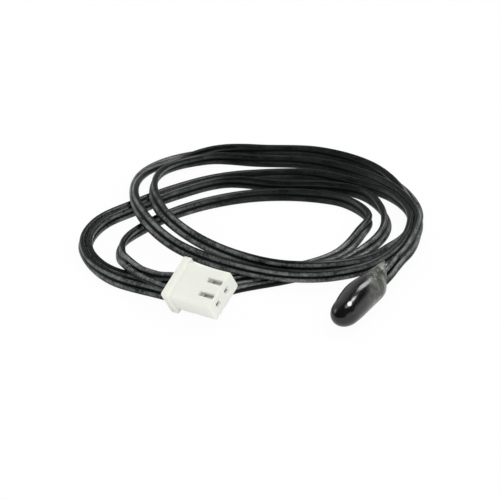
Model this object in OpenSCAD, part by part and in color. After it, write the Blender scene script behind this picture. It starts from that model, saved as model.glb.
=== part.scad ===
// Bead temperature sensor: a resin-dipped sensing head on a flat twin wire, wound into a loose
// coil, with a two-way crimp housing on the other end. Millimetres, +Z up, the part lies on the
// plane z = 0 and the origin is under the middle of the sensing head.

/* [Wire] */
// Diameter of each insulated core of the flat twin wire
core_d = 1; // [0.9:0.05:1]
// Diameter of the stranded conductor in each core
strand_d = 0.5; // [0.3:0.05:0.6]

/* [Plug housing] */
// Length of the housing, from the wire end to the mating end
plug_l = 8.4; // [8:0.1:9]
// Width over the collar at the wire end
plug_w = 7.4; // [7.2:0.1:7.8]
// Thickness over the collar at the wire end
plug_t = 4.9; // [4.6:0.1:5.2]
// Length of the collar
collar_l = 1.1; // [0.9:0.1:1.4]
// Width of the body in front of the collar
body_w = 6.8; // [6.6:0.1:7]
// Thickness of the body in front of the collar
body_t = 3.6; // [3.5:0.1:4]
// Distance between the two ways
pitch = 2.5; // [2.4:0.1:2.6]
// Width and height of each terminal cavity
cavity = 1.9; // [1.8:0.05:2]
// Length of the two windows that the terminals latch in
window_l = 3.3; // [2:0.1:3.4]
// Width of the two windows
window_w = 1; // [0.8:0.1:1.2]

/* [Terminals] */
// Thickness of the sheet that the terminals are folded from
sheet_t = 0.2; // [0.15:0.01:0.25]
// Width and height of a terminal's box
box_w = 1.7; // [1.6:0.05:1.75]
// Length of a terminal's box
box_l = 3.9; // [3.4:0.1:4]

/* [Sensing head] */
// Width of the resin drop at its fullest
drop_w = 5.1; // [5:0.05:5.4]
// Side of the square sensing chip
chip_w = 1.2; // [1:0.1:1.4]
// Thickness of the chip
chip_t = 0.5; // [0.4:0.05:0.6]
// Diameter of the bare wires on the chip
element_d = 0.3; // [0.2:0.02:0.36]
// Outer diameter of the sleeve over one soldered joint
sleeve_d = 1.4; // [1.3:0.05:1.5]

/* [Hidden] */

// The housing rests on one corner and leans on the wire: where its wire end's middle is, and its turns.
plug_at = [-27.3, -0.2, 3.91];
plug_turn = [28.35, -5.14, -35.92];

// The head's own frame: X runs from the tip's round end to the neck, on the plane z = 0.
head_at = [-2.1, -5.35, 0];
head_yaw = 63;

// The wire's route over its whole length. Each row is a point on its middle line and the lean of
// the pair there: 0 with one core over the other, 90 with the cores side by side.
cable_route = [
    // out of the plug, the cores parted
    [-25.5, -1.5, 4.1, 61],
    [-27.9, 0.2, 3.9, 61],
    [-30.6, 1.7, 3.7, 60],
    [-33.3, 4.2, 3.4, 60],
    // from the plug to the innermost turn
    [-35.4, 7.8, 2.9, 50],
    [-36.7, 12.8, 1.5, 30],
    [-36.5, 17.4, 1, 20],
    [-33.8, 21.7, 1, 0],
    [-29, 26.6, 1, 0],
    [-22.5, 30.6, 1, -10],
    [-15.1, 32.9, 1, -20],
    [-7.1, 32.8, 1, -20],
    [-1, 30.7, 1, -30],
    [2.5, 25.2, 1, 0],
    [1, 20.8, 0.9, 40],
    [-2.8, 14.1, 0.7, 70],
    [-9.5, 10.2, 0.6, 90],
    [-18.2, 7.4, 0.6, 90],
    [-24.8, 5.6, 0.8, 60],
    [-31.8, 5.6, 1, 0],
    // the second turn
    [-37.6, 8, 1, 0],
    [-41.1, 12.9, 1, 0],
    [-41.8, 18.2, 1, 0],
    [-39.6, 23.8, 1, 0],
    [-34.4, 28.6, 1, 0],
    [-28.4, 33.4, 1, 0],
    [-20.7, 37.4, 1, 0],
    [-12.3, 36.2, 1, 0],
    [-4.2, 35.8, 1, 0],
    [1.7, 33.5, 1, -25],
    [4.6, 28.4, 1, 10],
    [5.1, 22.7, 0.9, 45],
    [2.7, 16.9, 0.9, 50],
    [-3.4, 10.7, 0.6, 90],
    [-10.4, 7.1, 0.6, 90],
    [-18.2, 4.3, 0.7, 80],
    [-26, 1, 1, 20],
    [-31.8, 3, 1, 20],
    // the third turn
    [-37.8, 6.4, 1, 20],
    [-41.7, 11.8, 1, 0],
    [-43, 18, 1, 12],
    [-40.9, 24.1, 1, 5],
    [-35.5, 29.3, 1, 0],
    [-29.6, 34.1, 1, 0],
    [-22.6, 38.1, 1, 0],
    [-15.1, 39.8, 1, -30],
    [-6.6, 39.9, 1, -30],
    [0.6, 36.8, 1.1, -10],
    [6.4, 31.6, 1.6, 0],
    [9, 23.9, 2.2, 10],
    [7, 14.9, 2.2, 0],
    [2.1, 8.5, 2, 0],
    [-4.4, 5.6, 2, 0],
    [-11.2, 5.2, 2.2, 0],
    [-17.6, 7.2, 2.2, 10],
    [-23.8, 11.4, 1.7, 30],
    [-28.8, 15.2, 2.2, 42],
    // the fourth turn
    [-32.8, 20.4, 3.1, 50],
    [-35.3, 29, 3.1, 25],
    [-34.2, 40.5, 1.1, 75],
    [-30, 45.8, 0.6, 90],
    [-22.8, 48.9, 0.95, 30],
    [-13.7, 48.7, 1, -30],
    [-4.7, 47.9, 1, -30],
    [3.1, 43.2, 1, -10],
    [8.6, 35.2, 0.8, 50],
    [10.3, 26.7, 0.6, 90],
    [7.9, 19.3, 0.6, 85],
    [2.4, 12.2, 1.1, 0],
    [-5.1, 8.2, 2, 0],
    [-12.1, 8.1, 2.2, 0],
    [-18.8, 11.2, 2.1, 30],
    [-25.3, 16.6, 2.3, 42],
    [-30.4, 23.2, 3.1, 60],
    // the fifth turn
    [-32.3, 31.8, 3.1, 20],
    [-30.2, 41.7, 1.4, 20],
    [-23.7, 45.7, 1, 0],
    [-15.1, 45.1, 1, -30],
    [-6.2, 44.2, 1, -30],
    [1.4, 40.2, 1.2, -10],
    [7.3, 32.3, 2.1, 0],
    [10.2, 23.2, 2.4, 20],
    [9.3, 17.2, 2.2, 40],
    [7.8, 12.5, 2.2, 70],
    // into the head, the cores parting again
    [6.5, 10.1, 2.2, 70],
    [5.4, 7.6, 2.3, 68],
    [4.3, 5.1, 2.4, 68],
    [2.4, 2, 2.4, 80],
];
last = len(cable_route) - 1;
// The rows between which the two cores lie together as one flat wire.
joined_first = 4;
joined_last = last - 3;
core_r = core_d / 2;
strand_r = strand_d / 2;
// Sides of a core, half the flat wire's thickness at its waist, and the points round the flat wire.
core_sides = 8;
waist = 0.27 * core_d;
twin_sides = 2 * (core_sides - 1);
// How far each core is from the middle line, where they part at the two ends.
plug_parting = [pitch / 2, pitch / 2, 0.75, 0.54];
head_parting = [0.5, 0.52, 0.7];

// Stripped lengths at the two ends.
plug_strip = 1.9;
head_strip = 2.2;

// Heights in the plug's own frame: X from the wire end to the mating end, +Z the windows' side.
front_wall = 0.5;
box_x = plug_l - front_wall - 0.1 - box_l;
window_x = plug_l - 0.25 - window_l;

// The drop's rings, from the neck's side of its round end: distance along the head, sideways
// place, height, half width, half thickness, roll and how far the ring leans along the head.
drop_r = drop_w / 2;
// How far the round nose stands out past the first ring, and how far its tip is moved sideways.
nose_l = 3;
nose_side = 0.2;
drop_rings = [
    [-0.2, 0.08, 2.4, 0.88, 0.87, 0, 0],
    [1.2, 0.1, 2.46, 0.96, 0.94, 0, 0],
    [2.8, 0.1, 2.5, 1, 0.97, 0, 0],
    [4.4, 0.1, 2.5, 1.03, 0.97, 0, 0],
    [6.3, -0.1, 2.44, 0.99, 0.92, 5, 0.05],
    [8, -0.34, 2.37, 0.93, 0.84, 10, 0.15],
    [9.5, -0.33, 2.34, 0.84, 0.72, 14, 0.35],
    [10.7, -0.3, 2.34, 0.74, 0.6, 18, 0.7],
    [11.6, -0.3, 2.35, 0.66, 0.5, 20, 1.05],
    [12.4, -0.36, 2.37, 0.58, 0.41, 22, 1.4],
];
// The chip's middle, the two soldered joints and the bare wires between them, in the head's frame.
chip_at = [1.1, 0, 2.5];
joint_a = [7.1, 0.25, 2.65];
joint_b = [7.1, -1.32, 2.45];
joint_r = 0.55;
element_a = [[0.7, 0.37, 2.5], [3, 0.4, 2.5], [5.4, 0.4, 2.88], [7.8, 0.2, 2.97]];
element_b = [[0.7, -0.37, 2.5], [3, -0.4, 2.5], [5.4, -0.92, 2.7], [7.8, -1.33, 2.79]];

function unit(v) = v / norm(v);
function reversed(list) = [for (i = [len(list) - 1:-1:0]) list[i]];

// A ring of points round a place, in the plane square to the way along.
function ring(at, along, outline) =
    let (side = unit(cross(along, [0, 0, 1])), up = cross(side, along))
    [for (p = outline) at + side * p[0] + up * p[1]];

function rounded_outline(r, sides) =
    [for (k = [0:sides - 1]) let (a = (k + 0.5) * 360 / sides) [r * cos(a), r * sin(a)]];

// The faces between two rings, given as lists of their points' numbers.
function band(a, b) = [
    for (j = [0:len(a) - 1])
        let (k = (j + 1) % len(a))
        each [[a[j], a[k], b[k]], [a[j], b[k], b[j]]]
];
function bands(rings) = [for (i = [0:len(rings) - 2]) each band(rings[i], rings[i + 1])];
function numbers(first, count) = [for (k = [0:count - 1]) first + k];

// A closed skin over rings that all have the same number of points.
module skin(rings) {
    n = len(rings[0]);
    order = [for (i = [0:len(rings) - 1]) numbers(i * n, n)];
    caps = [reversed(order[0]), order[len(rings) - 1]];
    polyhedron([for (r = rings) each r], concat(bands(order), caps));
}

// A round rod through a list of points.
module rod(path, r, sides = 8) {
    end = len(path) - 1;
    skin([
        for (i = [0:end])
            let (along = unit(path[min(i + 1, end)] - path[max(i - 1, 0)]))
            ring(path[i], along, rounded_outline(r, sides))
    ]);
}

function place(i) = [cable_route[i].x, cable_route[i].y, cable_route[i].z];
function heading(i) = unit(place(min(i + 1, last)) - place(max(i - 1, 0)));
function sideways(i) = unit(cross(heading(i), [0, 0, 1]));
function across(i) =
    cross(sideways(i), heading(i)) * cos(cable_route[i][3]) + sideways(i) * sin(cable_route[i][3]);
function parting(i) =
    i < joined_first ? plug_parting[i] : i > joined_last ? head_parting[i - joined_last - 1] : core_r;
function core_point(i, hand) = place(i) + across(i) * parting(i) * hand;

// One core's ring at a row. It starts and ends with the two points that face the other core.
function core_ring(i, hand) =
    let (out = across(i) * hand, beside = cross(heading(i), out))
    [
        for (k = [0:core_sides - 1])
            let (a = (k + 0.5) * 360 / core_sides - 90)
            core_point(i, hand) + core_r * (beside * cos(a) + out * sin(a))
    ];

// The flat wire's ring: both cores' outer points, and between them the two points of the waist.
function twin_ring(i) =
    let (beside = cross(heading(i), across(i)) * waist, a = core_ring(i, 1), b = core_ring(i, -1))
    concat(
        [place(i) + beside], [for (k = [1:core_sides - 2]) a[k]],
        [place(i) - beside], [for (k = [1:core_sides - 2]) b[k]]
    );

// A core's share of a flat ring, by the points' numbers. The two points of the waist are in both.
function share(first, hand) =
    let (half = twin_sides / 2)
    hand > 0 ? numbers(first, half + 1) : concat(numbers(first + half, half), [first]);

// A parted core, from one row to another.
module parted_core(from, to, hand) { skin([for (i = [from:to]) core_ring(i, hand)]); }
module plug_core(hand) { parted_core(0, joined_first - 1, hand); }
module head_core(hand) { parted_core(joined_last + 1, last, hand); }

// The whole wire is one closed sweep: two cores, the flat pair, and two cores again.
module cable() {
    plug_rows = numbers(0, joined_first);
    twin_rows = numbers(joined_first, joined_last - joined_first + 1);
    head_rows = numbers(joined_last + 1, last - joined_last);
    points = concat(
        [for (hand = [1, -1], i = plug_rows) each core_ring(i, hand)],
        [for (i = twin_rows) each twin_ring(i)],
        [for (hand = [1, -1], i = head_rows) each core_ring(i, hand)]
    );
    twin_start = 2 * joined_first * core_sides;
    head_start = twin_start + len(twin_rows) * twin_sides;
    twin_order = [for (k = [0:len(twin_rows) - 1]) numbers(twin_start + k * twin_sides, twin_sides)];
    branches = [
        for (hand = [1, -1])
            let (
                other = hand > 0 ? 0 : 1,
                plug_at = [for (k = [0:joined_first - 1]) (other * joined_first + k) * core_sides],
                head_at = [for (k = [0:len(head_rows) - 1]) (other * len(head_rows) + k) * core_sides]
            )
            each [
                concat([for (p = plug_at) numbers(p, core_sides)], [share(twin_start, hand)]),
                concat(
                    [share(head_start - twin_sides, hand)],
                    [for (p = head_at) numbers(head_start + p, core_sides)]
                ),
            ]
    ];
    caps = [
        for (k = [0:3]) k % 2 == 0 ? reversed(branches[k][0]) : branches[k][len(branches[k]) - 1]
    ];
    color([0.14, 0.15, 0.15])
        polyhedron(points, concat([for (b = branches) each bands(b)], bands(twin_order), caps));
}

// The bare strand that carries on where a core's insulation ends. A cut for it starts further back.
module plug_strand(hand, back = 0) {
    end = core_point(0, hand);
    way = unit(end - core_point(1, hand));
    color([0.85, 0.6, 0.45]) rod([end - way * back, end + way * plug_strip], strand_r);
}

module head_strand(hand, back = 0) {
    end = core_point(last, hand);
    way = unit(end - core_point(last - 1, hand));
    color([0.85, 0.6, 0.45]) rod([end - way * back, end + way * head_strip], strand_r);
}

module plug_strand_a() { plug_strand(1); }
module plug_strand_b() { plug_strand(-1); }
module head_strand_a() { head_strand(1); }
module head_strand_b() { head_strand(-1); }

// The plug's own frame in the part's frame.
module in_plug() { translate(plug_at) rotate(plug_turn) children(); }

// A plate with round corners that stands square to X.
module plate(x, length, width, height, r) {
    translate([x, 0, 0]) rotate([90, 0, 90]) linear_extrude(length) {
        square([width - 2 * r, height], center = true);
        square([width, height - 2 * r], center = true);
        for (y = [-1, 1], z = [-1, 1])
            translate([y * (width / 2 - r), z * (height / 2 - r)]) circle(r, $fn = 24);
    }
}

module plug_housing() {
    rib_h = (plug_t - body_t) / 2;
    color([0.93, 0.93, 0.87]) in_plug() difference() {
        union() {
            plate(0, collar_l, plug_w, plug_t, 0.4);
            plate(0.3, plug_l - 0.5, body_w, body_t, 0.4);
            plate(0.1, plug_l - 0.1, body_w - 0.3, body_t - 0.3, 0.3);
            // two guide ribs under the body
            for (y = [-1, 1])
                translate([0.2, y * (body_w / 2 - 0.9) - 0.35, -plug_t / 2 + 0.1])
                    cube([plug_l - 1.4, 0.7, rib_h + 0.4]);
        }
        for (y = [-1, 1]) translate([0, y * pitch / 2, 0]) {
            // the terminal's cavity, open at the wire end
            translate([-1, -cavity / 2, -cavity / 2]) cube([plug_l - front_wall + 1, cavity, cavity]);
            // the pin's opening in the mating end
            translate([plug_l - 1, -0.5, -0.5]) cube([2, 1, 1]);
            // the window that the terminal latches in
            translate([window_x, -window_w / 2, 0]) cube([window_l, window_w, plug_t]);
        }
    }
}

// A folded crimp terminal: box, latch, floor strip and the two crimped barrels.
module terminal(hand) {
    half = box_w / 2;
    color([0.78, 0.78, 0.76]) difference() {
        in_plug() translate([0, hand * pitch / 2, 0]) {
            difference() {
                plate(box_x, box_l, box_w, box_w, 0.15);
                translate([box_x - 1, -half + sheet_t, -half + sheet_t])
                    cube([box_l + 2, box_w - 2 * sheet_t, box_w - 2 * sheet_t]);
            }
            // the latch that stands in the window
            translate([box_x + 0.8, 0.35, half - 0.05]) rotate([90, 0, 0]) linear_extrude(0.7)
                polygon([[0, 0], [1.5, 0.5], [1.5, 0.3], [0.6, 0]]);
            // the floor between the box and the barrels
            translate([0.4, -0.45, -half]) cube([box_x - 0.2, 0.9, sheet_t]);
            // the barrel on the bare strand, its two wings rolled in
            translate([2.5, -0.42, -half]) cube([1, 0.84, half + 0.1]);
            for (y = [-0.2, 0.2])
                translate([2.5, y, 0.12]) rotate([0, 90, 0]) cylinder(1, r = 0.26, $fn = 24);
            // the barrel on the insulation
            translate([0.5, -0.6, -half]) cube([1.1, 1.2, half]);
            translate([0.5, 0, 0]) rotate([0, 90, 0]) cylinder(1.1, r = 0.68, $fn = 32);
        }
        plug_core(hand);
        plug_strand(hand, 0.3);
    }
}

module terminal_a() { terminal(1); }
module terminal_b() { terminal(-1); }

module in_head() { translate(head_at) rotate([0, 0, head_yaw]) children(); }

// The resin drop's outline: a round nose, then the rings to the neck.
module drop() {
    sides = 32;
    first = drop_rings[0];
    nose = [
        for (a = [6, 20, 38, 56, 74]) [
            first[0] - nose_l * cos(a), first[1] + nose_side * cos(a), first[2],
            first[3] * sin(a), first[4] * sin(a), 0, 0
        ]
    ];
    skin([
        for (row = concat(nose, drop_rings)) [
            for (k = [0:sides - 1])
                let (
                    t = -k * 360 / sides, c = drop_r * row[3] * cos(t), s = drop_r * row[4] * sin(t),
                    side = c * cos(row[5]) - s * sin(row[5]), rise = c * sin(row[5]) + s * cos(row[5])
                )
                [row[0] + row[6] * side, row[1] + side, row[2] + rise]
        ]
    ]);
}

module bead() {
    translate(chip_at) rotate([0, 90, 0]) rotate_extrude($fn = 32)
        polygon([for (a = [0:10:180]) [1.15 * sin(a), -1.5 * cos(a)]]);
}

module chip() { translate(chip_at) cube([chip_w, chip_t, chip_w], center = true); }

// A bare wire, soldered flat on the chip's face.
module element_wire(path) {
    difference() {
        rod(path, element_d / 2);
        chip();
    }
}

// A soldered joint's outline, full in the middle and drawn out at both ends.
module joint(at) {
    translate(at) rotate([0, 90, 0]) rotate_extrude($fn = 32)
        polygon([for (a = [0:12:180]) [joint_r * sin(a), -0.95 * cos(a)]]);
}

module sleeve(r) {
    translate([5.8, joint_b.y, joint_b.z]) rotate([0, 90, 0]) cylinder(2.6, r = r, $fn = 40);
}

module resin_drop() {
    color([0.08, 0.08, 0.08]) difference() {
        in_head() drop();
        for (hand = [1, -1]) {
            head_core(hand);
            head_strand(hand, 0.3);
        }
        in_head() {
            bead();
            element_wire(element_a);
            element_wire(element_b);
            joint(joint_a);
            sleeve(sleeve_d / 2);
        }
    }
}

module element_bead() {
    color([0.35, 0.2, 0.12]) in_head() difference() {
        bead();
        chip();
        element_wire(element_a);
        element_wire(element_b);
    }
}

module sensing_chip() { color([0.3, 0.3, 0.32]) in_head() chip(); }
module element_wire_a() { color([0.8, 0.8, 0.78]) in_head() element_wire(element_a); }
module element_wire_b() { color([0.8, 0.8, 0.78]) in_head() element_wire(element_b); }

module solder_joint_a() {
    color([0.7, 0.7, 0.7]) difference() {
        in_head() joint(joint_a);
        head_strand(1);
        in_head() element_wire(element_a);
    }
}

module solder_joint_b() {
    color([0.7, 0.7, 0.7]) difference() {
        in_head() joint(joint_b);
        head_strand(-1);
        in_head() element_wire(element_b);
    }
}

module joint_sleeve() {
    color([0.2, 0.2, 0.2]) in_head() difference() {
        sleeve(sleeve_d / 2);
        for (x = [-0.5, 0.5]) translate([x, 0, 0]) sleeve(sleeve_d / 2 - 0.12);
    }
}

resin_drop();
element_bead();
sensing_chip();
element_wire_a();
element_wire_b();
solder_joint_a();
solder_joint_b();
joint_sleeve();
head_strand_a();
head_strand_b();
cable();
plug_strand_a();
plug_strand_b();
plug_housing();
terminal_a();
terminal_b();
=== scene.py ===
import math

import bmesh
import bpy
from mathutils import Euler, Matrix, Vector


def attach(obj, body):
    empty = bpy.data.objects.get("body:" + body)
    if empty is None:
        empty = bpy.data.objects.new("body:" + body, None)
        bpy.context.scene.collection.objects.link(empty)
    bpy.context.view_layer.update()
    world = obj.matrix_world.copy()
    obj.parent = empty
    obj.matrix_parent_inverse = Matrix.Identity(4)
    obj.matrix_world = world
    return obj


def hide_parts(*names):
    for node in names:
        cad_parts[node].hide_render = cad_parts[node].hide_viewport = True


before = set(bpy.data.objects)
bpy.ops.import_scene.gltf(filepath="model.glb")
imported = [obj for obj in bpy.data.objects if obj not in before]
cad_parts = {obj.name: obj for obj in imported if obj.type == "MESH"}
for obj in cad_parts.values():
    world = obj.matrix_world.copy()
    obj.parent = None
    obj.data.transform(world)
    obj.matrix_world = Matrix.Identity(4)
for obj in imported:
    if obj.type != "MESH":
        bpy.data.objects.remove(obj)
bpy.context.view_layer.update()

# The part is drawn in millimetres, and Blender's unit is the metre.
MM = 0.001

# The camera
# It looks down on the coil at 30 degrees from the front, through a long lens, as the photograph
# was taken, so that lines hardly draw together.
LOOK_DOWN = math.radians(30)
LOOKS_AT = Vector((-16.6, 16.8, 0)) * MM
CAMERA_AWAY = 0.35
looks_along = Vector((0, math.cos(LOOK_DOWN), -math.sin(LOOK_DOWN)))
lens = bpy.data.cameras.new("product_lens")
lens.lens = 160
lens.sensor_width = 36
lens.clip_start = 0.01
camera = bpy.data.objects.new("product_camera", lens)
camera.location = LOOKS_AT - looks_along * CAMERA_AWAY
camera.rotation_euler = (math.radians(90) - LOOK_DOWN, 0, 0)
bpy.context.collection.objects.link(camera)
bpy.context.scene.camera = camera

# The flat twin wire
# Two stranded conductors in one dark grey plastic jacket, drawn as two round cores side by side
# with a thin web between them. It was wound by hand into five loose turns, and the web is torn
# for the last few millimetres at both ends, so that the cores part.
CORE_R = 0.53
CORE_SIDES = 16
# half the thickness of the web
WAIST = 0.25
# Each row is a point on the pair's middle line and the lean of the pair: 0 with one core over
# the other, 90 with the cores side by side.
ROUTE = [
    # out of the plug, the cores parted
    (-25.5, -1.5, 4.1, 61),
    (-27.9, 0.2, 3.9, 61),
    (-30.6, 1.7, 3.7, 60),
    (-33.3, 4.2, 3.4, 60),
    # from the plug to the innermost turn
    (-35.4, 7.8, 2.9, 50),
    (-36.7, 12.8, 1.5, 30),
    (-36.5, 17.4, 1, 20),
    (-33.8, 21.7, 1, 0),
    (-29, 26.6, 1, 0),
    (-22.5, 30.6, 1, -10),
    (-15.1, 32.9, 1, -20),
    (-7.1, 32.8, 1, -20),
    (-1, 30.7, 1, -30),
    (2.5, 25.2, 1, 0),
    (1, 20.8, 0.9, 40),
    (-2.8, 14.1, 0.7, 70),
    (-9.5, 10.2, 0.6, 90),
    (-18.2, 7.4, 0.6, 90),
    (-24.8, 5.6, 0.8, 60),
    (-31.8, 5.6, 1, 0),
    # the second turn
    (-37.6, 8, 1, 0),
    (-41.1, 12.9, 1, 0),
    (-41.8, 18.2, 1, 0),
    (-39.6, 23.8, 1, 0),
    (-34.4, 28.6, 1, 0),
    (-28.4, 33.4, 1, 0),
    (-20.7, 37.4, 1, 0),
    (-12.3, 36.2, 1, 0),
    (-4.2, 35.8, 1, 0),
    (1.7, 33.5, 1, -25),
    (4.6, 28.4, 1, 10),
    (5.1, 22.7, 0.9, 45),
    (2.7, 16.9, 0.9, 50),
    (-3.4, 10.7, 0.6, 90),
    (-10.4, 7.1, 0.6, 90),
    (-18.2, 4.3, 0.7, 80),
    (-26, 1, 1, 20),
    (-31.8, 3, 1, 20),
    # the third turn
    (-37.8, 6.4, 1, 20),
    (-41.7, 11.8, 1, 0),
    (-43, 18, 1, 12),
    (-40.9, 24.1, 1, 5),
    (-35.5, 29.3, 1, 0),
    (-29.6, 34.1, 1, 0),
    (-22.6, 38.1, 1, 0),
    (-15.1, 39.8, 1, -30),
    (-6.6, 39.9, 1, -30),
    (0.6, 36.8, 1.1, -10),
    (6.4, 31.6, 1.6, 0),
    (9, 23.9, 2.2, 10),
    (7, 14.9, 2.2, 0),
    (2.1, 8.5, 2, 0),
    (-4.4, 5.6, 2, 0),
    (-11.2, 5.2, 2.2, 0),
    (-17.6, 7.2, 2.2, 10),
    (-23.8, 11.4, 1.7, 30),
    (-28.8, 15.2, 2.2, 42),
    # the fourth turn
    (-32.8, 20.4, 3.1, 50),
    (-35.3, 29, 3.1, 25),
    (-34.2, 40.5, 1.1, 75),
    (-30, 45.8, 0.6, 90),
    (-22.8, 48.9, 0.95, 30),
    (-13.7, 48.7, 1, -30),
    (-4.7, 47.9, 1, -30),
    (3.1, 43.2, 1, -10),
    (8.6, 35.2, 0.8, 50),
    (10.3, 26.7, 0.6, 90),
    (7.9, 19.3, 0.6, 85),
    (2.4, 12.2, 1.1, 0),
    (-5.1, 8.2, 2, 0),
    (-12.1, 8.1, 2.2, 0),
    (-18.8, 11.2, 2.1, 30),
    (-25.3, 16.6, 2.3, 42),
    (-30.4, 23.2, 3.1, 60),
    # the fifth turn
    (-32.3, 31.8, 3.1, 20),
    (-30.2, 41.7, 1.4, 20),
    (-23.7, 45.7, 1, 0),
    (-15.1, 45.1, 1, -30),
    (-6.2, 44.2, 1, -30),
    (1.4, 40.2, 1.2, -10),
    (7.3, 32.3, 2.1, 0),
    (10.2, 23.2, 2.4, 20),
    (9.3, 17.2, 2.2, 40),
    (7.8, 12.5, 2.2, 70),
    # into the head, the cores parting again
    (6.5, 10.1, 2.2, 70),
    (5.4, 7.6, 2.3, 68),
    (4.3, 5.1, 2.4, 68),
    (2.4, 2, 2.4, 80),
]
# How far each core's middle is from the pair's middle line at the first and at the last points.
PLUG_PARTING = [1.25, 1.25, 0.75, 0.54]
HEAD_PARTING = [0.5, 0.52, 0.7]
# Points from each row to the next, and the knots that each pass of the curve lies between.
STEPS = 8
PASSES = (((0, 1), (1, 2), (2, 3)), ((0, 2), (1, 3)), ((1, 2),))


def smooth_curve(rows):
    """A centripetal curve through every row, which eases the lean along with the place."""
    rows = [Vector(row) for row in rows]
    ends = [2 * rows[0] - rows[1], *rows, 2 * rows[-1] - rows[-2]]
    curve = []
    for four in zip(ends, ends[1:], ends[2:], ends[3:]):
        knots = [0]
        for p, q in zip(four, four[1:]):
            knots.append(knots[-1] + math.sqrt((Vector(q[:3]) - Vector(p[:3])).length))
        for step in range(STEPS):
            t = knots[1] + (knots[2] - knots[1]) * step / STEPS
            points = four
            for spans in PASSES:
                points = [
                    p.lerp(q, (t - knots[low]) / (knots[high] - knots[low]))
                    for p, q, (low, high) in zip(points, points[1:], spans)
                ]
            curve.append(points[0])
    return curve + [rows[-1]]


joined_rows = len(ROUTE) - len(PLUG_PARTING) - len(HEAD_PARTING)
parting = [*PLUG_PARTING, *[CORE_R] * joined_rows, *HEAD_PARTING]
middle_line = smooth_curve(ROUTE)
joined_from = len(PLUG_PARTING) * STEPS
joined_to = (len(ROUTE) - len(HEAD_PARTING) - 1) * STEPS


def core_ring(station, hand):
    """One core's ring, which starts and ends facing the other core, and the web's two points."""
    here = Vector(middle_line[station][:3])
    ahead = Vector(middle_line[min(station + 1, len(middle_line) - 1)][:3])
    behind = Vector(middle_line[max(station - 1, 0)][:3])
    along = (ahead - behind).normalized()
    side = along.cross(Vector((0, 0, 1))).normalized()
    lean = math.radians(middle_line[station][3])
    out = (side.cross(along) * math.cos(lean) + side * math.sin(lean)) * hand
    beside = out.cross(along)
    row, part = divmod(station, STEPS)
    apart = parting[row] + (parting[min(row + 1, len(ROUTE) - 1)] - parting[row]) * part / STEPS
    # a core that would sink into the table lies on it
    lifted = here + Vector((0, 0, max(0, CORE_R + abs(out.z) * apart - here.z)))
    centre = lifted + out * apart
    angles = [(k + 0.5) / CORE_SIDES * 2 * math.pi - math.pi / 2 for k in range(CORE_SIDES)]
    ring = [centre + CORE_R * (beside * math.cos(a) + out * math.sin(a)) for a in angles]
    web = [lifted + beside * WAIST * sign for sign in (1, -1)]
    return ring, web


wire = bmesh.new()
along_wire = wire.verts.layers.float.new("along")
distance = [0.0]
for a, b in zip(middle_line, middle_line[1:]):
    distance.append(distance[-1] + (Vector(b[:3]) - Vector(a[:3])).length)


def wire_points(points, station):
    """New points of the wire, which keep how far along it they are."""
    made = [wire.verts.new(point * MM) for point in points]
    for vert in made:
        vert[along_wire] = distance[station] * MM
    return made


upper_rings, lower_rings = [], []
for station in range(len(middle_line)):
    (upper, web), (lower, _) = core_ring(station, 1), core_ring(station, -1)
    if joined_from <= station <= joined_to:
        # the two cores share the web's points
        right, left = wire_points(web, station)
        upper_rings.append([right, *wire_points(upper[1:-1], station), left])
        lower_rings.append([left, *wire_points(lower[1:-1], station), right])
    else:
        upper_rings.append(wire_points(upper, station))
        lower_rings.append(wire_points(lower, station))

# the map runs along the wire in metres, and once round each core
around_wire = wire.loops.layers.uv.new("wire")
for rings in (upper_rings, lower_rings):
    for station, (ring, following) in enumerate(zip(rings, rings[1:])):
        both_joined = joined_from <= station < joined_to
        for k in range(CORE_SIDES):
            nxt = (k + 1) % CORE_SIDES
            # inside the web, one core goes over into the other
            if both_joined and nxt == 0:
                continue
            face = wire.faces.new((ring[k], ring[nxt], following[nxt], following[k]))
            for loop, turn in zip(face.loops, (k, k + 1, k + 1, k)):
                loop[around_wire].uv = (loop.vert[along_wire], turn / CORE_SIDES)
    wire.faces.new(reversed(rings[0]))
    wire.faces.new(rings[-1])
bmesh.ops.recalc_face_normals(wire, faces=wire.faces)
for face in wire.faces:
    face.smooth = True


def finished(name, shape):
    """A new piece from a bmesh, in the part's own frame."""
    mesh = bpy.data.meshes.new(name)
    shape.to_mesh(mesh)
    shape.free()
    piece = bpy.data.objects.new(name, mesh)
    bpy.context.collection.objects.link(piece)
    return piece


flat_wire = finished("flat_twin_wire", wire)


def node_adder(tree):
    """A function that adds a node to a tree, and sets or links its inputs."""

    def add(kind, inputs=(), **values):
        node = tree.nodes.new(kind)
        for key, value in values.items():
            setattr(node, key, value)
        for key, value in dict(inputs).items():
            if isinstance(value, bpy.types.NodeSocket):
                tree.links.new(value, node.inputs[key])
            else:
                node.inputs[key].default_value = value
        return node

    return add


def new_material(name):
    """A material, its shader and its function that adds nodes."""
    material = bpy.data.materials.new(name)
    material.use_nodes = True
    return material, material.node_tree.nodes["Principled BSDF"], node_adder(material.node_tree)


def spread(add, value, span, onto=(0, 1), kind="LINEAR"):
    """A value within one span, laid onto another."""
    ends = {"From Min": span[0], "From Max": span[1], "To Min": onto[0], "To Max": onto[1]}
    node = add("ShaderNodeMapRange", {"Value": value, **ends}, interpolation_type=kind)
    return node.outputs["Result"]


def blend(add, share, first, second):
    """A colour between two others."""
    node = add("ShaderNodeMix", {"Factor": share, "A": first, "B": second}, data_type="RGBA")
    return node.outputs["Result"]


def coat(shader, tone, rough, relief):
    """Gives a shader its colour, its roughness and its relief."""
    links = shader.id_data.links
    links.new(tone, shader.inputs["Base Color"])
    links.new(rough, shader.inputs["Roughness"])
    links.new(relief.outputs["Normal"], shader.inputs["Normal"])


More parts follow.
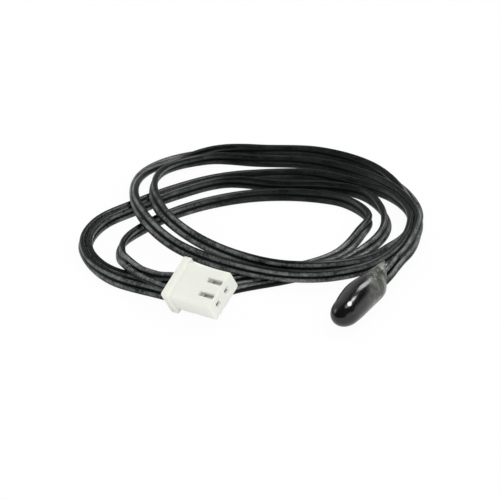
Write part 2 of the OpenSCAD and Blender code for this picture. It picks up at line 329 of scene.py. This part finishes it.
def unevenness_group():
    """Slow waves and fine grain over a surface, as every moulded, drawn or dipped surface has."""
    group = bpy.data.node_groups.new("surface_unevenness", "ShaderNodeTree")
    face = group.interface
    face.new_socket("Place", in_out="INPUT", socket_type="NodeSocketVector")
    for name in ("Wave size", "Grain size", "Grain share"):
        face.new_socket(name, in_out="INPUT", socket_type="NodeSocketFloat")
    for name in ("Height", "Tone"):
        face.new_socket(name, in_out="OUTPUT", socket_type="NodeSocketFloat")
    add = node_adder(group)
    given = add("NodeGroupInput").outputs
    waves, grain = [
        add("ShaderNodeTexNoise", {"Vector": given["Place"], "Scale": given[size], "Detail": detail})
        for size, detail in (("Wave size", 2), ("Grain size", 4))
    ]
    both = {"Factor": given["Grain share"], "A": waves.outputs["Fac"], "B": grain.outputs["Fac"]}
    mixed = add("ShaderNodeMix", both)
    add("NodeGroupOutput", {"Height": mixed.outputs["Result"], "Tone": waves.outputs["Fac"]})
    return group


unevenness = unevenness_group()


def uneven(add, wave, grain, share):
    """A piece's own place and unevenness, with both sizes in waves per metre."""
    place = add("ShaderNodeTexCoord").outputs["Object"]
    sizes = {"Wave size": wave, "Grain size": grain, "Grain share": share}
    return place, add("ShaderNodeGroup", {"Place": place, **sizes}, node_tree=unevenness)


# The jacket is black. A pale, mottled sheen is painted on its crowns, the lines of the cores that
# stand out most, as a painted highlight, and at the far side of the coil painted shade takes most of
# it.
JACKET_BLACK = (0.0008, 0.0024, 0.0019, 1)
# the painted highlight's colours, where it is thin and where it is full
PAINTED_SHEEN_THIN, PAINTED_SHEEN_FULL = (0.016, 0.02, 0.019, 1), (0.18, 0.195, 0.188, 1)
CROWN_FROM = 0.68
# painted shade at the coil's far side: its middle, the distances in mm within which the crowns keep
# only a share of the painted highlight and beyond which they keep all of it, and that share
FAR_SIDE = Vector((-9, 42, 1))
SHADED_WITHIN, LIT_BEYOND = 10, 30
SHADED_SHARE = 0.1
# the middle of a noise's values, where nearly all of them lie
NOISE_MIDDLE = (0.38, 0.62)
# how fast the die's lines change along a metre of wire and round a core
DRAW_LINES = (60, 14, 1)


def wire_jacket_material():
    """Soft black plastic, satin, with the fine draw lines of the die along it and a painted
    highlight.
    """
    material, shader, add = new_material("wire_jacket")
    place, surface = uneven(add, wave=400.0, grain=2600.0, share=0.5)
    wire_map = add("ShaderNodeUVMap", uv_map="wire").outputs["UV"]
    round_core = add("ShaderNodeSeparateXYZ", {"Vector": wire_map}).outputs["Y"]
    # the crowns lie a quarter and three quarters of the way round a core from the web
    turned = add(
        "ShaderNodeMath",
        {0: round_core, 1: 2 * math.pi, 2: math.pi / CORE_SIDES},
        operation="MULTIPLY_ADD",
    )
    swing = add("ShaderNodeMath", {0: turned.outputs[0]}, operation="SINE")
    stands_out = add("ShaderNodeMath", {0: swing.outputs[0]}, operation="ABSOLUTE")
    # painted highlight: the sheen lies on the crowns and fades out towards the web
    crown = spread(add, stands_out.outputs[0], (CROWN_FROM, 1), kind="SMOOTHSTEP")
    # painted shade: the painted highlight fades towards the coil's far side
    away = add("ShaderNodeVectorMath", {0: place, 1: FAR_SIDE * MM}, operation="DISTANCE")
    reach = (SHADED_WITHIN * MM, LIT_BEYOND * MM)
    lit_share = spread(add, away.outputs["Value"], reach, onto=(SHADED_SHARE, 1), kind="SMOOTHSTEP")
    painted_sheen_share = add("ShaderNodeMath", {0: crown, 1: lit_share}, operation="MULTIPLY")
    patches = spread(add, surface.outputs["Height"], NOISE_MIDDLE)
    painted_sheen = blend(add, patches, PAINTED_SHEEN_THIN, PAINTED_SHEEN_FULL)
    tone = blend(add, painted_sheen_share.outputs[0], JACKET_BLACK, painted_sheen)
    stretched = add("ShaderNodeMapping", {"Vector": wire_map, "Scale": DRAW_LINES})
    draw_lines = add("ShaderNodeTexNoise", {"Vector": stretched.outputs["Vector"], "Scale": 1.0})
    rough = spread(add, draw_lines.outputs["Fac"], (0, 1), onto=(0.3, 0.46))
    relief = {"Height": surface.outputs["Height"], "Strength": 0.18, "Distance": 0.00005}
    coat(shader, tone, rough, add("ShaderNodeBump", relief))
    shader.inputs["Specular IOR Level"].default_value = 0.16
    return material


flat_wire.data.materials.append(wire_jacket_material())
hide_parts("cable")
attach(flat_wire, "root")

# The resin drop
# The head was dipped in black epoxy: a blunt round tip, a full middle and a neck that runs out
# over the two cores, ending in a slanting lip. It is glossy on the nose and dull where it thins.
HEAD_AT = Vector((-2.1, -5.35, 0))
HEAD_YAW = math.radians(63)
DROP_R = 2.55
# the nose's rings stand at these angles round its tip, which lies a little to one side
NOSE_LENGTH = 3
NOSE_SIDE = 0.2
NOSE_ANGLES = (12, 28, 44, 60, 76)
# Each ring: distance along the head, sideways place, height, half width, half thickness, roll in
# degrees and how far the ring leans along the head.
DROP_RINGS = [
    (-0.2, 0.08, 2.4, 0.88, 0.87, 0, 0),
    (1.2, 0.1, 2.46, 0.96, 0.94, 0, 0),
    (2.8, 0.1, 2.5, 1, 0.97, 0, 0),
    (4.4, 0.1, 2.5, 1.03, 0.97, 0, 0),
    (6.3, -0.1, 2.44, 0.99, 0.92, 5, 0.05),
    (8, -0.34, 2.37, 0.93, 0.84, 10, 0.15),
    (9.5, -0.33, 2.34, 0.84, 0.72, 14, 0.35),
    (10.7, -0.3, 2.34, 0.74, 0.6, 18, 0.7),
    (11.6, -0.3, 2.35, 0.66, 0.5, 20, 1.05),
    (12.4, -0.36, 2.37, 0.58, 0.41, 22, 1.4),
    (13.1, -0.3, 2.37, 0.53, 0.37, 22, 1.8),
]
# The lip is rolled in round the cores: how far each step goes along the head, and its width.
LIP_STEPS = ((0.06, 0.94), (-0.12, 0.86), (-0.5, 0.8))
in_head = Matrix.Translation(HEAD_AT) @ Matrix.Rotation(HEAD_YAW, 4, "Z")


def drop_ring(drop, row, segments=24):
    """A ring of the drop: a circle that is squeezed, rolled and leant into its place."""
    x, side, height, wide, thick, roll, lean = row
    cosine, sine = math.cos(math.radians(roll)), math.sin(math.radians(roll))
    wide, thick = wide * DROP_R, thick * DROP_R
    shaped = Matrix((
        (lean * wide * cosine, -lean * thick * sine, 1, x),
        (wide * cosine, -thick * sine, 0, side),
        (wide * sine, thick * cosine, 0, height),
        (0, 0, 0, 1),
    ))
    made = bmesh.ops.create_circle(drop, segments=segments, radius=1, matrix=shaped)
    return made["verts"]


def ring_edges(ring):
    """The edges between the points of one ring."""
    inside = set(ring)
    return list({e for v in ring for e in v.link_edges if set(e.verts) <= inside})


drop = bmesh.new()
nose_row = DROP_RINGS[0]
rows = [
    (
        nose_row[0] - NOSE_LENGTH * math.cos(math.radians(a)),
        nose_row[1] + NOSE_SIDE * math.cos(math.radians(a)),
        nose_row[2],
        nose_row[3] * math.sin(math.radians(a)),
        nose_row[4] * math.sin(math.radians(a)),
        0,
        0,
    )
    for a in NOSE_ANGLES
]
rings = [drop_ring(drop, row) for row in rows + DROP_RINGS]
for ring, following in zip(rings, rings[1:]):
    bmesh.ops.bridge_loops(drop, edges=ring_edges(ring) + ring_edges(following))
# the tip
tip = bmesh.ops.extrude_edge_only(drop, edges=ring_edges(rings[0]))
tip_points = [v for v in tip["geom"] if isinstance(v, bmesh.types.BMVert)]
tip_place = Vector((nose_row[0] - NOSE_LENGTH, nose_row[1] + NOSE_SIDE, nose_row[2]))
bmesh.ops.pointmerge(drop, verts=tip_points, merge_co=tip_place)
edge_loop = ring_edges(rings[-1])
for onwards, scale in LIP_STEPS:
    lip = bmesh.ops.extrude_edge_only(drop, edges=edge_loop)
    points = [v for v in lip["geom"] if isinstance(v, bmesh.types.BMVert)]
    centre = sum((v.co for v in points), Vector()) / len(points)
    for v in points:
        v.co = centre + (v.co - centre) * scale + Vector((onwards, 0, 0))
    edge_loop = [e for e in lip["geom"] if isinstance(e, bmesh.types.BMEdge)]
bmesh.ops.edgeloop_fill(drop, edges=edge_loop)
bmesh.ops.recalc_face_normals(drop, faces=drop.faces)
bmesh.ops.transform(drop, matrix=Matrix.Scale(MM, 4) @ in_head, verts=drop.verts)
for face in drop.faces:
    face.smooth = True
resin = finished("resin_dipped_head", drop)
rounding = resin.modifiers.new("rounding", "SUBSURF")
rounding.levels = 2
rounding.render_levels = 2

# The resin thins out between the first two places along the head, sooner on the side away from
# the coil, and between the other two it turns into a film that lets the dark wire through. Where it
# thins it is painted paler: partly the thinner resin, partly a painted reflection broken into
# painted highlights on the neck and on the flank away from the coil.
DULL_FROM, DULL_TO = 4.5, 11.5
FILM_FROM, FILM_TO = 11.5, 14
THIN_SLANT = 1.4
EPOXY_BLACK = ((0.002, 0.002, 0.0018, 1), (0.005, 0.005, 0.0045, 1))
# the thin resin's dark pockets and pale patches; the pale is partly a painted reflection
EPOXY_THIN_AND_SHEEN = ((0.03, 0.033, 0.021, 1), (0.29, 0.304, 0.278, 1))
EPOXY_FILM = (0.05, 0.053, 0.046, 1)


def resin_material():
    """Black epoxy: a wet gloss on the nose; duller, wavier and paler where it thins out, the pale
    partly a painted reflection.
    """
    material, shader, add = new_material("black_epoxy")
    place, surface = uneven(add, wave=480.0, grain=1800.0, share=0.08)
    from_head = add("ShaderNodeVectorMath", {0: place, 1: HEAD_AT * MM}, operation="SUBTRACT")
    way = {0: from_head.outputs["Vector"], 1: in_head.to_3x3() @ Vector((1, -THIN_SLANT, 0))}
    along = add("ShaderNodeVectorMath", way, operation="DOT_PRODUCT").outputs["Value"]
    # where the resin thins: duller, and painted paler, partly as painted reflection
    thinning_and_sheen = spread(add, along, (DULL_FROM * MM, DULL_TO * MM), kind="SMOOTHSTEP")
    film = spread(add, along, (FILM_FROM * MM, FILM_TO * MM), onto=(0, 0.8), kind="SMOOTHSTEP")
    # painted highlights: pale patches that come and go over the thin resin
    sheen_blotches = spread(add, surface.outputs["Tone"], NOISE_MIDDLE)
    over_wire = blend(add, film, blend(add, sheen_blotches, *EPOXY_THIN_AND_SHEEN), EPOXY_FILM)
    tone = blend(add, thinning_and_sheen, blend(add, surface.outputs["Tone"], *EPOXY_BLACK), over_wire)
    rough = spread(add, thinning_and_sheen, (0, 1), onto=(0.14, 0.34))
    strength = spread(add, thinning_and_sheen, (0, 1), onto=(0.02, 0.9))
    relief = {"Height": surface.outputs["Height"], "Strength": strength, "Distance": 0.0004}
    coat(shader, tone, rough, add("ShaderNodeBump", relief))
    shader.inputs["Specular IOR Level"].default_value = 0.55
    return material


resin.data.materials.append(resin_material())
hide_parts("resin_drop")
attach(resin, "root")

# What the resin and the plug hold
# A sintered oxide chip with a wire soldered on each face, in a small brown bead; two soldered
# joints, one of them in a sleeve; the wire's bare strands. They keep their own solids.
GLOSS_VARIES = 0.06
# Each finish: its darkest and its lightest colour, its roughness, how metallic it is, its pieces.
FINISHES = {
    "sintered_oxide": ((0.03, 0.03, 0.032), (0.06, 0.06, 0.06), 0.7, 0, ["sensing_chip"]),
    "bead_varnish": ((0.05, 0.02, 0.01), (0.11, 0.05, 0.02), 0.3, 0, ["element_bead"]),
    "tinned_wire": (
        (0.5, 0.5, 0.49), (0.66, 0.66, 0.64), 0.35, 1, ["element_wire_a", "element_wire_b"],
    ),
    "solder": ((0.4, 0.4, 0.4), (0.6, 0.6, 0.6), 0.3, 1, ["solder_joint_a", "solder_joint_b"]),
    "sleeve_plastic": ((0.02, 0.02, 0.02), (0.05, 0.05, 0.05), 0.5, 0, ["joint_sleeve"]),
    "tinned_copper": (
        (0.55, 0.36, 0.24), (0.72, 0.5, 0.36), 0.35, 1,
        ["head_strand_a", "head_strand_b", "plug_strand_a", "plug_strand_b"],
    ),
}


def plain_finish(name, dark, light, roughness, metallic):
    """A finish whose tone, gloss and surface vary slowly, for small plain pieces."""
    material, shader, add = new_material(name)
    _, surface = uneven(add, wave=900.0, grain=7200.0, share=0.35)
    tone = blend(add, surface.outputs["Tone"], (*dark, 1), (*light, 1))
    gloss = (roughness - GLOSS_VARIES, roughness + GLOSS_VARIES)
    rough = spread(add, surface.outputs["Tone"], (0, 1), onto=gloss)
    relief = {"Height": surface.outputs["Height"], "Strength": 0.4, "Distance": 0.00003}
    coat(shader, tone, rough, add("ShaderNodeBump", relief))
    shader.inputs["Metallic"].default_value = metallic
    return material


def repaint(names, material):
    """CAD pieces whose shape is right take a new finish."""
    for name in names:
        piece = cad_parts[name]
        piece.data.materials.clear()
        piece.data.materials.append(material)


for name, (*finish, pieces) in FINISHES.items():
    repaint(pieces, plain_finish(name, *finish))

# The plug housing
# One moulding in natural white nylon: a collar at the wire end, a body with a window over each
# way, and two square openings for the pins. Its edges are softly rounded by the mould.
PLUG_AT = Vector((-27.3, -0.2, 3.91))
PLUG_TURN = Euler([math.radians(a) for a in (28.35, -5.14, -35.92)])
PLUG_L, PLUG_W, PLUG_T = 8.4, 7.4, 4.9
COLLAR_L, BODY_W, BODY_T = 1.1, 6.6, 3.6
# the body starts inside the collar, and its underside and its ribs' feet lie a little high
BODY_FROM, UNDERSIDE_UP = 0.3, 0.1
CORNER_R, EDGE_R = 0.4, 0.09
# the two ribs underneath: where they start, how far they stop before the mating end, how far in
# from the body's sides they lie, how wide they are and how far they are sunk in
RIB_FROM, RIB_STOPS, RIB_IN, RIB_W, RIB_SUNK = 0.2, 1.2, 0.9, 0.7, 0.4
# from way to way, and the widths of a way, of a pin's opening and of the opening's lead-in
PITCH, CAVITY, PIN, LEAD_IN = 2.5, 1.9, 0.5, 1.1
FRONT_WALL, FUNNEL_L = 0.5, 1.4
WINDOW_L, WINDOW_W, WINDOW_STOPS = 2.75, 0.85, 0.15
# the windows and pin openings sit a little towards the near side of the body
WAYS_MIDDLE = -0.12
# degrees between two faces that are one flat, that meet in a moulded edge, that shade sharply
FLAT_TO, EDGE_FROM, SHARP_FROM = 1, 40, 35
in_plug = Matrix.Translation(PLUG_AT) @ PLUG_TURN.to_matrix().to_4x4()


def block(shape, low, high, round_by=0.0):
    """A block between two corners, with the edges along it rounded."""
    size = [b - a for a, b in zip(low, high)]
    centre = [(a + b) / 2 for a, b in zip(low, high)]
    placed = Matrix.Translation(centre) @ Matrix.Diagonal((*size, 1))
    made = bmesh.ops.create_cube(shape, size=1, matrix=placed)["verts"]
    if round_by:
        edges = list({e for v in made for e in v.link_edges})
        along = [e for e in edges if abs(e.verts[0].co.x - e.verts[1].co.x) > size[0] / 2]
        bmesh.ops.bevel(
            shape,
            geom=along,
            offset=round_by,
            offset_type="OFFSET",
            affect="EDGES",
            segments=4,
            profile=0.5,
            material=-1,
        )


def cut(piece, cutter, operation="DIFFERENCE"):
    """Cuts one piece with another, or joins them, and deletes the second."""
    modifier = piece.modifiers.new("cut", "BOOLEAN")
    modifier.operation = operation
    modifier.solver = "EXACT"
    modifier.object = cutter
    bpy.context.view_layer.update()
    shown = piece.evaluated_get(bpy.context.evaluated_depsgraph_get())
    result = bpy.data.meshes.new_from_object(shown)
    piece.modifiers.clear()
    old = piece.data
    piece.data = result
    bpy.data.meshes.remove(old)
    bpy.data.objects.remove(cutter)


body = bmesh.new()
low = (BODY_FROM, -BODY_W / 2, -BODY_T / 2 + UNDERSIDE_UP)
block(body, low, (PLUG_L, BODY_W / 2, BODY_T / 2), CORNER_R)
housing = finished("nylon_housing", body)
collar = bmesh.new()
block(collar, (0, -PLUG_W / 2, -PLUG_T / 2), (COLLAR_L, PLUG_W / 2, PLUG_T / 2), CORNER_R)
cut(housing, finished("collar", collar), "UNION")
ribs = bmesh.new()
rib_foot = -PLUG_T / 2 + UNDERSIDE_UP
rib_top = rib_foot + (PLUG_T - BODY_T) / 2 + RIB_SUNK
for side in (-1, 1):
    rib_y = side * (BODY_W / 2 - RIB_IN)
    low = (RIB_FROM, rib_y - RIB_W / 2, rib_foot)
    block(ribs, low, (PLUG_L - RIB_STOPS, rib_y + RIB_W / 2, rib_top))
cut(housing, finished("ribs", ribs), "UNION")
ways = bmesh.new()
for side in (-1, 1):
    way_y = side * PITCH / 2
    # each way is open at the wire end
    low = (-1, way_y - CAVITY / 2, -CAVITY / 2)
    block(ways, low, (PLUG_L - FRONT_WALL, way_y + CAVITY / 2, CAVITY / 2))
cut(housing, finished("ways", ways))
pins = bmesh.new()
half_diagonal = math.sqrt(2) / 2
for side in (-1, 1):
    way_y = side * PITCH / 2 + WAYS_MIDDLE
    # the pin's lead-in is a four-sided funnel, square with the plug, and half of it stands out
    # in front of the mating end
    funnel = Matrix.Translation((PLUG_L, way_y, 0)) @ Matrix.Rotation(math.radians(90), 4, "Y")
    bmesh.ops.create_cone(
        pins,
        cap_ends=True,
        segments=4,
        radius1=PIN * half_diagonal,
        radius2=(2 * LEAD_IN - PIN) * half_diagonal,
        depth=FUNNEL_L,
        matrix=funnel @ Matrix.Rotation(math.radians(45), 4, "Z"),
    )
cut(housing, finished("pins", pins))
windows = bmesh.new()
window_x = PLUG_L - WINDOW_STOPS - WINDOW_L
for side in (-1, 1):
    way_y = side * PITCH / 2 + WAYS_MIDDLE
    low = (window_x, way_y - WINDOW_W / 2, 0)
    block(windows, low, (window_x + WINDOW_L, way_y + WINDOW_W / 2, PLUG_T))
cut(housing, finished("windows", windows))
moulding = bmesh.new()
moulding.from_mesh(housing.data)
bmesh.ops.remove_doubles(moulding, verts=moulding.verts, dist=0.001)
bmesh.ops.dissolve_limit(
    moulding,
    angle_limit=math.radians(FLAT_TO),
    verts=moulding.verts,
    edges=moulding.edges,
)
bmesh.ops.recalc_face_normals(moulding, faces=moulding.faces)
sharp = [e for e in moulding.edges if e.calc_face_angle(0) > math.radians(EDGE_FROM)]
bmesh.ops.bevel(
    moulding,
    geom=sharp,
    offset=EDGE_R,
    offset_type="OFFSET",
    affect="EDGES",
    segments=2,
    profile=0.5,
    material=-1,
    clamp_overlap=True,
)
bmesh.ops.transform(moulding, matrix=Matrix.Scale(MM, 4) @ in_plug, verts=moulding.verts)
for face in moulding.faces:
    face.smooth = True
moulding.to_mesh(housing.data)
moulding.free()
housing.data.set_sharp_from_angle(angle=math.radians(SHARP_FROM))


def nylon_material():
    """Natural nylon: a warm white that lets some light through, with a fine eroded grain."""
    material, shader, add = new_material("natural_nylon")
    _, surface = uneven(add, wave=180.0, grain=9000.0, share=0.5)
    tone = blend(add, surface.outputs["Tone"], (0.76, 0.775, 0.7, 1), (0.82, 0.835, 0.78, 1))
    rough = spread(add, surface.outputs["Height"], (0, 1), onto=(0.38, 0.52))
    relief = {"Height": surface.outputs["Height"], "Strength": 0.25, "Distance": 0.00003}
    coat(shader, tone, rough, add("ShaderNodeBump", relief))
    shader.inputs["Subsurface Weight"].default_value = 0.35
    shader.inputs["Subsurface Radius"].default_value = (1.0, 0.9, 0.7)
    shader.inputs["Subsurface Scale"].default_value = MM
    return material


housing.data.materials.append(nylon_material())
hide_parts("plug_housing")
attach(housing, "root")

# The crimp terminals
# Each is folded from one strip of tinned bronze: a square box for the pin, a latch that springs
# into the window, and two barrels rolled over the strand and over the insulation.
sheet = plain_finish(
    "tinned_sheet", dark=(0.45, 0.45, 0.41), light=(0.7, 0.7, 0.64), roughness=0.4, metallic=0.4
)
repaint(["terminal_a", "terminal_b"], sheet)

# The middle line's points in metres, which are not kept.
[tuple(Vector(p[:3]) * MM) for p in middle_line]

# The table and the light
# A plain white sheet in a light tent. The tent lights everything evenly, and what the glossy
# pieces mirror in it is a dark room with a few lit panels, as round the photographed part.
TABLE_REACH = 3
# How much of what the camera sees of the table, and of what the glossy pieces mirror of it, is a
# plain white glow, and how bright that glow is when it is mirrored.
FLOOR_SEEN = 0.95
FLOOR_MIRRORED = 0.85
MIRRORED_WHITE = 0.95
table = bmesh.new()
bmesh.ops.create_grid(table, x_segments=1, y_segments=1, size=TABLE_REACH)
floor = finished("white_table", table)


def floor_material():
    """White paper that the camera sees as the photograph's white, with the part's shadow on it."""
    material, shader, add = new_material("white_paper")
    place = add("ShaderNodeTexCoord").outputs["Object"]
    paper = add("ShaderNodeTexNoise", {"Vector": place, "Scale": 150.0})
    tone = blend(add, paper.outputs["Fac"], (0.86, 0.86, 0.86, 1), (0.9, 0.9, 0.9, 1))
    shader.id_data.links.new(tone, shader.inputs["Base Color"])
    shader.inputs["Roughness"].default_value = 0.9
    shader.inputs["Specular IOR Level"].default_value = 0.1
    rays = add("ShaderNodeLightPath").outputs
    to_camera = add("ShaderNodeMath", {0: rays["Is Camera Ray"], 1: FLOOR_SEEN}, operation="MULTIPLY")
    share = add(
        "ShaderNodeMath",
        {0: rays["Is Glossy Ray"], 1: FLOOR_MIRRORED, 2: to_camera.outputs[0]},
        operation="MULTIPLY_ADD",
    )
    level = spread(add, rays["Is Glossy Ray"], (0, 1), onto=(1, MIRRORED_WHITE))
    glow = add("ShaderNodeEmission", {"Color": (1, 1, 1, 1), "Strength": level}).outputs["Emission"]
    mixed = add("ShaderNodeMixShader", {"Fac": share.outputs[0], 1: shader.outputs["BSDF"], 2: glow})
    out = material.node_tree.nodes["Material Output"]
    material.node_tree.links.new(mixed.outputs["Shader"], out.inputs["Surface"])
    return material


floor.data.materials.append(floor_material())


def toward(azimuth, height):
    """A direction from its compass angle, from the back towards the right, and its height."""
    azimuth, height = math.radians(azimuth), math.radians(height)
    level = math.cos(height)
    return Vector((math.sin(azimuth) * level, math.cos(azimuth) * level, math.sin(height)))


LAMP_AWAY = 0.5
LAMP_RADIANCE = 2.5


def soft_lamp(name, azimuth, height, size):
    """A soft panel that faces the sensing head from a direction. It lights, but isn't mirrored."""
    lamp = bpy.data.lights.new(name, "AREA")
    lamp.shape = "RECTANGLE"
    lamp.size, lamp.size_y = size
    lamp.energy = LAMP_RADIANCE * math.pi * size[0] * size[1]
    holder = bpy.data.objects.new(name, lamp)
    direction = toward(azimuth, height)
    holder.location = in_head @ Vector((0, 0, DROP_R)) * MM + direction * LAMP_AWAY
    holder.rotation_euler = direction.to_track_quat("Z", "Y").to_euler()
    holder.visible_glossy = False
    bpy.context.collection.objects.link(holder)


soft_lamp("key", azimuth=42, height=56, size=(0.3, 0.25))
soft_lamp("front", azimuth=172, height=30, size=(0.4, 0.25))

# How bright the tent is, and how bright the room that the glossy pieces mirror.
TENT = 0.78
ROOM = 0.08
# The round panels in that room: where each is, the angles within which it is full and past which
# it is gone, and how bright it is.
PANELS = [
    # the bright spot on the head's nose
    (toward(51, 61), 6, 11, 28),
    (toward(70, 61), 6, 11, 18),
    (toward(95, 74), 6, 14, 3.5),
    # the two spots further up the head
    (toward(26, 37), 6, 10, 6.5),
    (toward(20, 25), 1, 4, 7),
    # the small streak on the nose's left, and the sheen behind it
    (toward(-80, 24), 6, 18, 1.7),
    (toward(-45, 25), 25, 55, 0.55),
    # the low light in the head's right flank
    (toward(80, -5), 15, 40, 1),
    (toward(130, -5), 15, 40, 1),
]


def studio_world():
    """The tent: even for what it lights, and dark with lit panels for what mirrors it."""
    world = bpy.data.worlds.new("studio")
    world.use_nodes = True
    add = node_adder(world.node_tree)
    way = add("ShaderNodeTexCoord").outputs["Generated"]
    mirrored = ROOM
    for direction, full, gone, strength in PANELS:
        facing = add("ShaderNodeVectorMath", {0: way, 1: direction}, operation="DOT_PRODUCT")
        span = (math.cos(math.radians(gone)), math.cos(math.radians(full)))
        patch = spread(add, facing.outputs["Value"], span, onto=(0, strength), kind="SMOOTHSTEP")
        mirrored = add("ShaderNodeMath", {0: mirrored, 1: patch}, operation="ADD").outputs[0]
    rays = add("ShaderNodeLightPath").outputs
    lit = add("ShaderNodeMix", {"Factor": rays["Is Glossy Ray"], "A": TENT, "B": mirrored})
    # the camera sees the tent's wall as white as the table
    either = {0: lit.outputs["Result"], 1: rays["Is Camera Ray"]}
    seen = add("ShaderNodeMath", either, operation="MAXIMUM")
    background = world.node_tree.nodes["Background"]
    background.inputs["Color"].default_value = (1, 1, 1, 1)
    world.node_tree.links.new(seen.outputs[0], background.inputs["Strength"])
    world.cycles.sampling_method = "NONE"
    return world


bpy.context.scene.world = studio_world()
bpy.context.scene.view_settings.view_transform = "Standard"
